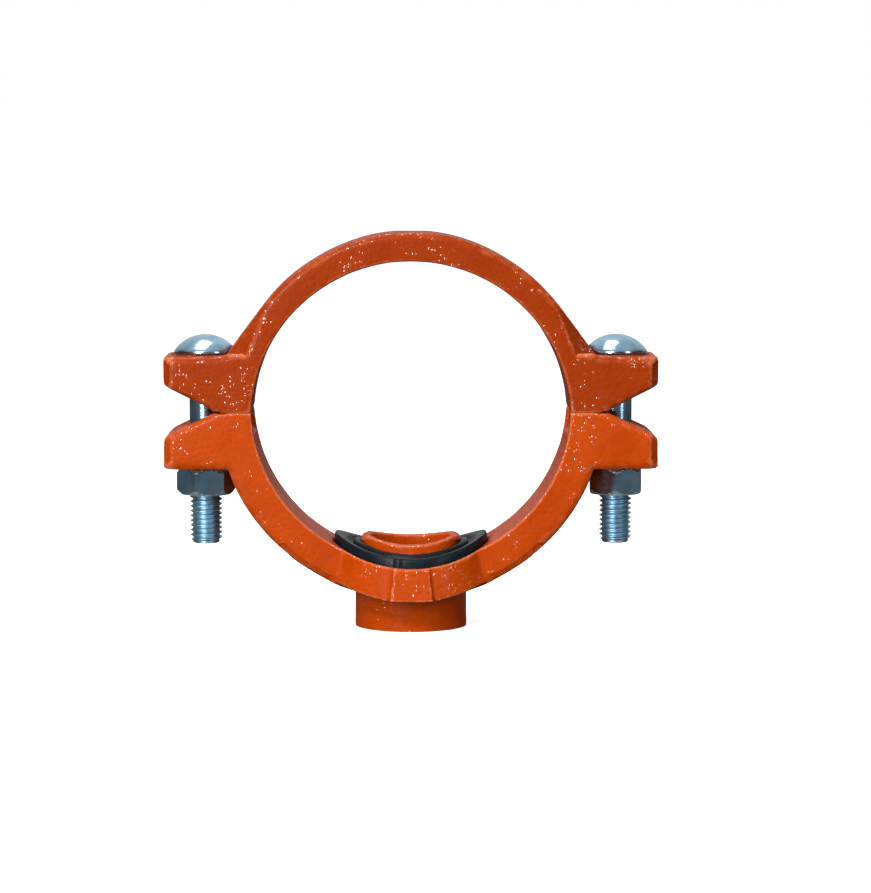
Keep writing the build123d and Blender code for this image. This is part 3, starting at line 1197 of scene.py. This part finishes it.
@dataclass
class Studio:
    """White floor, soft lights and the camera."""

    distance: float = 1.25
    eye_x: float = -0.009
    eye_z: float = 0.100
    pitch_deg: float = 5.33
    yaw_deg: float = 0.83
    focal_px: float = 3405.0
    picture_px: float = 871.0
    film_mm: float = 36.0
    room: float = 0.02
    ceiling: float = 0.60
    backdrop: float = 0.60
    floor_half: float = 60.0

    def camera(self) -> bpy.types.Object:
        """Places the camera along the run pipe and makes it the scene's own."""
        data = bpy.data.cameras.new("studio_camera")
        data.sensor_fit = "HORIZONTAL"
        data.sensor_width = self.film_mm
        data.lens = self.focal_px / self.picture_px * self.film_mm
        data.clip_start = 0.01
        data.clip_end = 200.0
        camera = bpy.data.objects.new("studio_camera", data)
        camera.location = (self.eye_x, -self.distance, self.eye_z)
        camera.rotation_euler = (math.radians(90 - self.pitch_deg), 0.0, -math.radians(self.yaw_deg))
        bpy.context.scene.collection.objects.link(camera)
        bpy.context.scene.camera = camera
        return camera

    def floor(self) -> bpy.types.Object:
        """Lays the floor under the boss."""
        low = CAD_BOX[0][2]
        solid = Solid("floor")
        half = self.floor_half
        corners = [(-half, -half), (half, -half), (half, half), (-half, half)]
        solid.loft([[(x, y, low - 0.02) for x, y in corners], [(x, y, low) for x, y in corners]], False)
        mesh = solid.mesh()
        mesh.materials.append(PaleFloor().material())
        floor = add_object("floor", mesh)
        return floor

    def light(self, name: str, place: tuple, width: float, height: float, watts: float) -> bpy.types.Object:
        """Adds a soft rectangular light aimed at the part.

        Args:
            name: the light's name.
            place: its position in metres.
            width: its width in metres.
            height: its height in metres.
            watts: its power.

        Returns:
            The light's object.
        """
        data = bpy.data.lights.new(name, "AREA")
        data.shape = "RECTANGLE"
        data.size = width
        data.size_y = height
        data.energy = watts
        lamp = bpy.data.objects.new(name, data)
        lamp.location = place
        lamp.rotation_euler = (-Vector(place)).to_track_quat("-Z", "Y").to_euler()
        bpy.context.scene.collection.objects.link(lamp)
        return lamp

    def world(self) -> None:
        """Sets a white surround for the camera, and a dim room with a soft ceiling for the light."""
        world = bpy.data.worlds.new("white_room")
        world.use_nodes = True
        shader = ShaderTree(world.node_tree)
        background = world.node_tree.nodes["Background"]
        way = shader.add("ShaderNodeSeparateXYZ")
        shader.join(shader.add("ShaderNodeTexCoord").outputs["Generated"], way.inputs[0])
        ceiling = shader.remap(way.outputs["Z"], 0.25, 0.9, 0.0, self.ceiling)
        backdrop = shader.remap(way.outputs["Y"], 0.25, 0.9, 0.0, self.backdrop)
        room = shader.math("ADD", shader.math("ADD", ceiling, backdrop), self.room)
        seen = shader.add("ShaderNodeLightPath").outputs["Is Camera Ray"]
        shader.join(shader.math("MAXIMUM", room, seen), background.inputs["Strength"])
        background.inputs["Color"].default_value = (1.0, 1.0, 1.0, 1.0)
        bpy.context.scene.world = world

    def build(self) -> None:
        """Sets up the camera, the surround, the floor and the lights."""
        self.camera()
        self.world()
        self.floor()
        self.light("key_left", (-0.42, -1.15, 0.85), 0.20, 0.20, 12.0)
        self.light("top", (-0.2, 0.1, 1.3), 0.8, 0.5, 8.0)
        self.light("strip_left", (-0.50, -1.12, 0.12), 0.26, 0.8, 17.0)
        self.light("fill_right", (0.95, -0.95, 0.30), 0.30, 0.8, 4.0)
        bpy.context.scene.view_settings.view_transform = "Standard"


def main() -> None:
    """Builds the pieces in order and reports them."""
    logging.basicConfig(level=logging.INFO, format="%(name)s %(message)s")
    Studio().build()
    groups = Groups()
    # The strap's paint is a darker copy of the outlet's orange; the difference is painted shade.
    strap_paint = CastPaint("strap_paint", (0.295, 0.031, 0.0003, 1.0), (0.255, 0.025, 0.0002, 1.0))
    outlet_paint = CastPaint("outlet_paint", (0.44, 0.052, 0.0007, 1.0), (0.38, 0.041, 0.0004, 1.0))
    CastHalf("strap_housing", "strap", strap_paint, STRAP_BORE_Z).dress(groups)
    outlet = OutletCasting("outlet_housing", "outlet_half", outlet_paint, 0.0, far_side=-1.0, ear_mm=1.0)
    casting = outlet.dress(groups)
    outlet.thread(casting.data.materials[0])
    SaddleGasket().dress(groups)
    zinc = ZincPlate().material(groups)
    # The chamfer zinc is a paler copy of the plating: a painted highlight.
    pale, dull = (0.80, 0.92, 0.97, 1.0), (0.62, 0.78, 0.87, 1.0)
    turned = ZincPlate("turned_zinc", pale, dull, 0.45).material(groups)
    blue, deep = (0.38, 0.58, 0.71, 1.0), (0.30, 0.49, 0.62, 1.0)
    rolled = ZincPlate("rolled_zinc", blue, deep, 0.36).material(groups)
    for side, turn in ((Side.LEFT, 10.0), (Side.RIGHT, 28.0)):
        fastener = Fastener(side, zinc, turned, rolled, nut_turn_deg=turn)
        fastener.bolt()
        fastener.nut()


if __name__ == "__main__":
    main()
